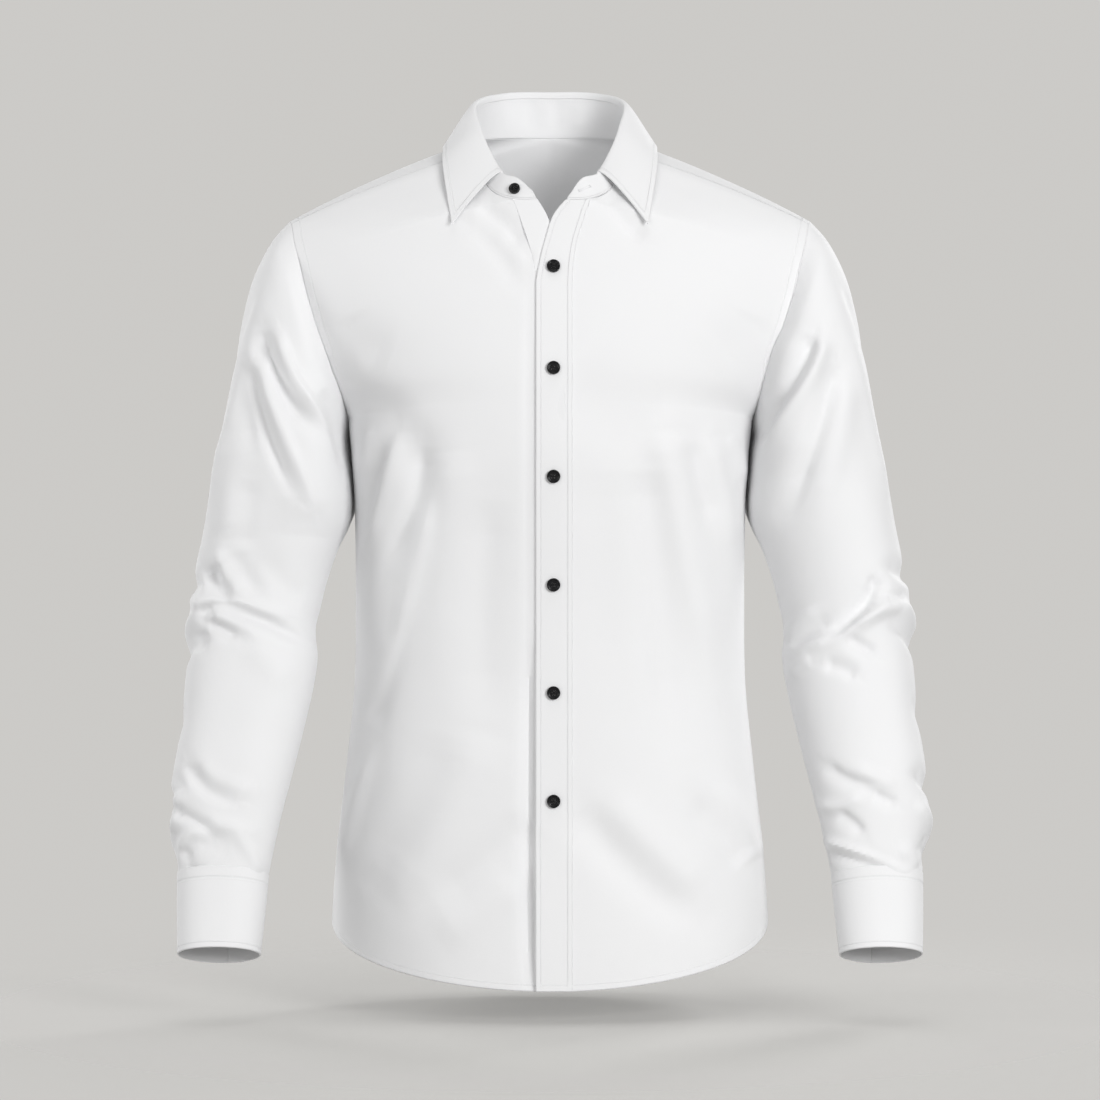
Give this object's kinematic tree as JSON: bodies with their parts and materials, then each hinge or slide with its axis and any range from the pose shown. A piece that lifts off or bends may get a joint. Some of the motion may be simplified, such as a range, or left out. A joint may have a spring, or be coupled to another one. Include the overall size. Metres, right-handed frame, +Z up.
{
  "type": "long sleeve dress shirt",
  "caption": "Long sleeve dress shirt in plain white poplin with a collar, buttonhole placket, black buttons, barrel cuffs and a curved hem, worn and hollow",
  "frame": {"origin": "in the middle of the neck, between the front and the back of the neck seam", "axes": "+Z up along the body, +X to the wearer's left, -Y to the front, where the buttons are"},
  "size_m": [0.652, 0.2461, 0.7973],
  "materials": {
    "poplin": "white cotton poplin, fine plain weave, soft sheen",
    "lined_poplin": "white cotton poplin over a stiffener, edge stitched",
    "button": "polished black, four holes"
  },
  "bodies": {
    "root": {"front_right": "poplin", "front_left": "poplin", "back": "poplin", "yoke": "poplin", "sleeve_left": "poplin", "sleeve_right": "poplin", "button_band": "lined_poplin", "placket": "lined_poplin", "collar_stand": "lined_poplin", "collar_leaf": "lined_poplin", "cuff_left": "lined_poplin", "cuff_right": "lined_poplin", "sleeve_placket_left": "lined_poplin", "sleeve_placket_right": "lined_poplin", "front_button_1": "button", "front_button_2": "button", "front_button_3": "button", "front_button_4": "button", "front_button_5": "button", "front_button_6": "button", "collar_button": "button", "cuff_button_left": "button", "cuff_button_right": "button"}
  },
  "joints": []
}
